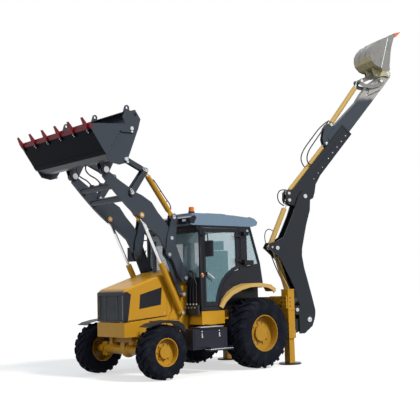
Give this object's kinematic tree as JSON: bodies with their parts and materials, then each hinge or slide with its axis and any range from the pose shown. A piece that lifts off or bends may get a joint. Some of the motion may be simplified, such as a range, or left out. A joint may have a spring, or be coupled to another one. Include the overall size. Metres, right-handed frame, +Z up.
{
  "type": "backhoe loader",
  "caption": "wheeled backhoe loader with glazed cab, raised parallel-lift front clam bucket, and a swung rear digger with sliding dipper and open bucket",
  "frame": {"origin": "on the ground under the middle of the machine as posed", "axes": "+X forward towards the loader bucket, +Y to the left of the machine, +Z up"},
  "size_m": [7.8722, 2.887, 6.868],
  "materials": {
    "frame_yellow": "amber-yellow gloss paint",
    "arm_charcoal": "charcoal satin paint",
    "clam_paint": "charcoal satin paint with red teeth",
    "pin_steel": "machined steel",
    "rod_chrome": "hard chrome",
    "bare_steel": "worn bare steel",
    "dark_iron": "dark cast iron",
    "roof_plastic": "blue-grey moulded roof",
    "window": "pale tinted glass",
    "trim_plastic": "black moulded plastic",
    "tyre_rubber": "black rubber"
  },
  "bodies": {
    "chassis": {"main_frame": "frame_yellow", "engine_block": "dark_iron", "axles": "frame_yellow", "cab_frame": "arm_charcoal", "cab_roof": "roof_plastic", "cab_glass": "window", "cab_interior": "trim_plastic", "rear_fenders": "frame_yellow", "side_boxes": "frame_yellow", "exhaust_stack": "dark_iron", "mirrors": "trim_plastic"},
    "hood": {"hood_shell": "frame_yellow", "grille": "trim_plastic"},
    "door_left": {"door_left": "arm_charcoal"},
    "door_right": {"door_right": "arm_charcoal"},
    "steering_left": {"knuckle_left": "frame_yellow", "front_fender_left": "trim_plastic"},
    "steering_right": {"knuckle_right": "frame_yellow", "front_fender_right": "trim_plastic"},
    "wheel_front_left": {"rim_front_left": "frame_yellow", "tyre_front_left": "tyre_rubber"},
    "wheel_front_right": {"rim_front_right": "frame_yellow", "tyre_front_right": "tyre_rubber"},
    "wheel_rear_left": {"rim_rear_left": "frame_yellow", "tyre_rear_left": "tyre_rubber"},
    "wheel_rear_right": {"rim_rear_right": "frame_yellow", "tyre_rear_right": "tyre_rubber"},
    "arms": {"loader_arms": "arm_charcoal"},
    "idlers": {"idlers": "arm_charcoal"},
    "levelling_links": {"levelling_links": "arm_charcoal"},
    "lift_barrels": {"lift_barrels": "frame_yellow"},
    "lift_rods": {"lift_rods": "rod_chrome"},
    "tilt_pins": {"tilt_pins": "pin_steel"},
    "tilt_barrels": {"tilt_barrels": "frame_yellow"},
    "tilt_rods": {"tilt_rods": "rod_chrome"},
    "bucket_pins": {"bucket_pins": "pin_steel"},
    "loader_bucket": {"loader_bucket": "arm_charcoal"},
    "bucket_clam": {"bucket_clam": "clam_paint"},
    "lever_pins": {"lever_pins": "pin_steel"},
    "levers": {"levers": "arm_charcoal"},
    "link_pins": {"link_pins": "pin_steel"},
    "links": {"links": "arm_charcoal"},
    "stabiliser_left": {"stabiliser_leg_left": "frame_yellow"},
    "stabiliser_right": {"stabiliser_leg_right": "frame_yellow"},
    "carriage": {"carriage": "frame_yellow"},
    "kingpost": {"kingpost": "arm_charcoal"},
    "boom": {"boom": "arm_charcoal"},
    "boom_ram_barrel": {"boom_ram_barrel": "frame_yellow"},
    "boom_ram_rod": {"boom_ram_rod": "rod_chrome"},
    "dipper": {"dipper": "arm_charcoal", "slide_ram_barrel": "frame_yellow"},
    "dipper_ram_barrel": {"dipper_ram_barrel": "frame_yellow"},
    "dipper_ram_rod": {"dipper_ram_rod": "rod_chrome"},
    "inner_dipper": {"inner_dipper": "arm_charcoal", "slide_ram_rod": "rod_chrome"},
    "bucket_ram_barrel": {"bucket_ram_barrel": "frame_yellow"},
    "bucket_ram_rod": {"bucket_ram_rod": "rod_chrome"},
    "tipping_lever": {"tipping_lever": "bare_steel"},
    "bucket_link": {"bucket_link": "bare_steel"},
    "digging_bucket": {"digging_bucket": "bare_steel"}
  },
  "joints": [
    {"name": "lift", "type": "hinge", "parent": "chassis", "child": "arms", "pos_m": [1.47511, -0.18954, 1.683], "axis": [0, -1, 0], "range_deg": [-80.5, 0]},
    {"name": "idler_turn", "type": "hinge", "parent": "arms", "child": "idlers", "pos_m": [1.78111, -0.18954, 2.388], "axis": [0, -1, 0], "range_deg": [0, 80.52]},
    {"name": "levelling_turn", "type": "hinge", "parent": "chassis", "child": "levelling_links", "pos_m": [1.53111, -0.18954, 1.394], "axis": [0, -1, 0], "range_deg": [-80.52, 0]},
    {"name": "lift_barrel_turn", "type": "hinge", "parent": "chassis", "child": "lift_barrels", "pos_m": [1.56311, -0.18954, 1.072], "axis": [0, -1, 0], "range_deg": [-70.19, 0]},
    {"name": "lift_rod_slide", "type": "slide", "parent": "lift_barrels", "child": "lift_rods", "axis": [0.447, 0, 0.8945], "range_m": [-0.75236, 0]},
    {"name": "tilt_pin_turn", "type": "hinge", "parent": "idlers", "child": "tilt_pins", "pos_m": [1.71611, -0.18954, 2.761], "axis": [0, -1, 0], "range_deg": [-87.99, 0]},
    {"name": "bucket_pin_turn", "type": "hinge", "parent": "arms", "child": "bucket_pins", "pos_m": [3.15911, -0.18954, 3.509], "axis": [0, -1, 0], "range_deg": [0, 79.69]},
    {"name": "lever_pin_turn", "type": "hinge", "parent": "arms", "child": "lever_pins", "pos_m": [2.62411, -0.18954, 3.152], "axis": [0, -1, 0], "range_deg": [0, 58.65]},
    {"name": "link_pin_turn", "type": "hinge", "parent": "levers", "child": "link_pins", "pos_m": [2.32611, -0.18954, 3.556], "axis": [0, -1, 0], "range_deg": [-60.48, 0]},
    {"name": "bucket_tilt", "type": "hinge", "parent": "bucket_pins", "child": "loader_bucket", "pos_m": [3.15911, -0.18954, 3.509], "axis": [0, 1, 0], "range_deg": [0, 100]},
    {"name": "lever_turn", "type": "hinge", "parent": "lever_pins", "child": "levers", "pos_m": [2.62411, -0.18954, 3.152], "axis": [0, 1, 0], "range_deg": [0, 58.52]},
    {"name": "link_turn", "type": "hinge", "parent": "link_pins", "child": "links", "pos_m": [2.32611, -0.18954, 3.556], "axis": [0, -1, 0], "range_deg": [0, 37.84]},
    {"name": "tilt_barrel_turn", "type": "hinge", "parent": "tilt_pins", "child": "tilt_barrels", "pos_m": [1.71611, -0.18954, 2.761], "axis": [0, 1, 0], "range_deg": [0, 14.55]},
    {"name": "tilt_rod_slide", "type": "slide", "parent": "tilt_barrels", "child": "tilt_rods", "axis": [0.6087, 0, 0.7934], "range_m": [0, 0.38947]},
    {"name": "clam", "type": "hinge", "parent": "loader_bucket", "child": "bucket_clam", "pos_m": [3.02211, -0.18954, 4.122], "axis": [0, -1, 0], "range_deg": [0, 80]},
    {"name": "hood", "type": "hinge", "parent": "chassis", "child": "hood", "pos_m": [2.73211, -0.18954, 0.95], "axis": [0, 1, 0], "range_deg": [0, 50]},
    {"name": "door_left", "type": "hinge", "parent": "chassis", "child": "door_left", "pos_m": [0.38611, 0.60745, 1.8], "axis": [0, 0, 1], "range_deg": [0, 75]},
    {"name": "steering_left", "type": "hinge", "parent": "chassis", "child": "steering_left", "pos_m": [2.37411, 0.51045, 0.46], "axis": [0, 0, 1], "range_deg": [-32, 32]},
    {"name": "wheel_front_left", "type": "hinge", "parent": "steering_left", "child": "wheel_front_left", "pos_m": [2.37411, 0.74845, 0.46], "axis": [0, 1, 0], "continuous": true},
    {"name": "wheel_rear_left", "type": "hinge", "parent": "chassis", "child": "wheel_rear_left", "pos_m": [0.12411, 0.70845, 0.645], "axis": [0, 1, 0], "continuous": true},
    {"name": "stabiliser_left", "type": "slide", "parent": "chassis", "child": "stabiliser_left", "axis": [0, 0, 1], "range_m": [0, 0.45]},
    {"name": "door_right", "type": "hinge", "parent": "chassis", "child": "door_right", "pos_m": [0.38611, -0.98655, 1.8], "axis": [0, 0, -1], "range_deg": [0, 75]},
    {"name": "steering_right", "type": "hinge", "parent": "chassis", "child": "steering_right", "pos_m": [2.37411, -0.88955, 0.46], "axis": [0, 0, 1], "range_deg": [-32, 32]},
    {"name": "wheel_front_right", "type": "hinge", "parent": "steering_right", "child": "wheel_front_right", "pos_m": [2.37411, -1.12755, 0.46], "axis": [0, 1, 0], "continuous": true},
    {"name": "wheel_rear_right", "type": "hinge", "parent": "chassis", "child": "wheel_rear_right", "pos_m": [0.12411, -1.08754, 0.645], "axis": [0, 1, 0], "continuous": true},
    {"name": "stabiliser_right", "type": "slide", "parent": "chassis", "child": "stabiliser_right", "axis": [0, 0, 1], "range_m": [0, 0.45]},
    {"name": "side_shift", "type": "slide", "parent": "chassis", "child": "carriage", "axis": [0, 1, 0], "range_m": [-1, 0]},
    {"name": "swing", "type": "hinge", "parent": "carriage", "child": "kingpost", "pos_m": [-1.21589, 0.31045, 0.7], "axis": [0, 0, 1], "range_deg": [-72, 108]},
    {"name": "boom", "type": "hinge", "parent": "kingpost", "child": "boom", "pos_m": [-1.52974, 0.41243, 0.81], "axis": [-0.309, -0.9511, 0], "range_deg": [0, 100]},
    {"name": "boom_ram_turn", "type": "hinge", "parent": "boom", "child": "boom_ram_barrel", "pos_m": [-0.92107, 0.21466, 2.24], "axis": [0.309, 0.9511, 0], "range_deg": [-0.9557, 0]},
    {"name": "boom_ram_slide", "type": "slide", "parent": "boom_ram_barrel", "child": "boom_ram_rod", "axis": [-0.274, 0.089, -0.9576], "range_m": [0, 0.51469]},
    {"name": "dipper", "type": "hinge", "parent": "boom", "child": "dipper", "pos_m": [-1.55827, 0.4217, 3.28], "axis": [-0.309, -0.9511, 0], "range_deg": [0, 105]},
    {"name": "dipper_ram_turn", "type": "hinge", "parent": "boom", "child": "dipper_ram_barrel", "pos_m": [-0.81169, 0.17912, 2.255], "axis": [0.309, 0.9511, 0], "range_deg": [-4.88, 0]},
    {"name": "dipper_ram_slide", "type": "slide", "parent": "dipper_ram_barrel", "child": "dipper_ram_rod", "axis": [-0.4052, 0.1316, 0.9047], "range_m": [0, 0.54385]},
    {"name": "dipper_slide", "type": "slide", "parent": "dipper", "child": "inner_dipper", "axis": [-0.6324, 0.2055, 0.7469], "range_m": [0, 1.1]},
    {"name": "dig_bucket", "type": "hinge", "parent": "inner_dipper", "child": "digging_bucket", "pos_m": [-3.61256, 1.08918, 5.975], "axis": [-0.309, -0.9511, 0], "range_deg": [0, 165]},
    {"name": "bucket_ram_turn", "type": "hinge", "parent": "inner_dipper", "child": "bucket_ram_barrel", "pos_m": [-2.25255, 0.64728, 4.8], "axis": [0.309, 0.9511, 0], "range_deg": [-4.04, 0]},
    {"name": "bucket_ram_slide", "type": "slide", "parent": "bucket_ram_barrel", "child": "bucket_ram_rod", "axis": [-0.5866, 0.1906, 0.7872], "range_m": [0, 0.77952]},
    {"name": "tipping_lever_turn", "type": "hinge", "parent": "inner_dipper", "child": "tipping_lever", "pos_m": [-3.44612, 1.0351, 5.805], "axis": [0.309, 0.9511, 0], "range_deg": [-104.91, 0]},
    {"name": "bucket_link_turn", "type": "hinge", "parent": "tipping_lever", "child": "bucket_link", "pos_m": [-2.97535, 0.88214, 5.77], "axis": [0.309, 0.9511, 0], "range_deg": [0, 51.56]}
  ],
  "couplings": [
    {"joint": "idler_turn", "follows": "lift", "ratio": -1},
    {"joint": "levelling_turn", "follows": "lift", "ratio": 1},
    {"joint": "lift_barrel_turn", "follows": "lift", "ratio": 0.87172},
    {"joint": "lift_rod_slide", "follows": "lift", "m_per_rad": 0.53514},
    {"joint": "tilt_pin_turn", "follows": "lift", "ratio": 1.0927},
    {"joint": "bucket_pin_turn", "follows": "lift", "ratio": -0.98963},
    {"joint": "lever_pin_turn", "follows": "lift", "ratio": -0.7283},
    {"joint": "link_pin_turn", "follows": "lift", "ratio": 0.75105},
    {"joint": "lever_turn", "follows": "bucket_tilt", "ratio": 0.58502},
    {"joint": "link_turn", "follows": "bucket_tilt", "ratio": 0.37821},
    {"joint": "tilt_barrel_turn", "follows": "bucket_tilt", "ratio": 0.14535},
    {"joint": "tilt_rod_slide", "follows": "bucket_tilt", "m_per_rad": 0.22286},
    {"joint": "steering_right", "follows": "steering_left", "ratio": 1},
    {"joint": "boom_ram_turn", "follows": "boom", "ratio": -0.009357},
    {"joint": "boom_ram_slide", "follows": "boom", "m_per_rad": 0.29461},
    {"joint": "dipper_ram_turn", "follows": "dipper", "ratio": -0.046272},
    {"joint": "dipper_ram_slide", "follows": "dipper", "m_per_rad": 0.29649},
    {"joint": "bucket_ram_turn", "follows": "dig_bucket", "ratio": -0.02436},
    {"joint": "bucket_ram_slide", "follows": "dig_bucket", "m_per_rad": 0.27051},
    {"joint": "tipping_lever_turn", "follows": "dig_bucket", "ratio": -0.6357},
    {"joint": "bucket_link_turn", "follows": "dig_bucket", "ratio": 0.31235}
  ]
}
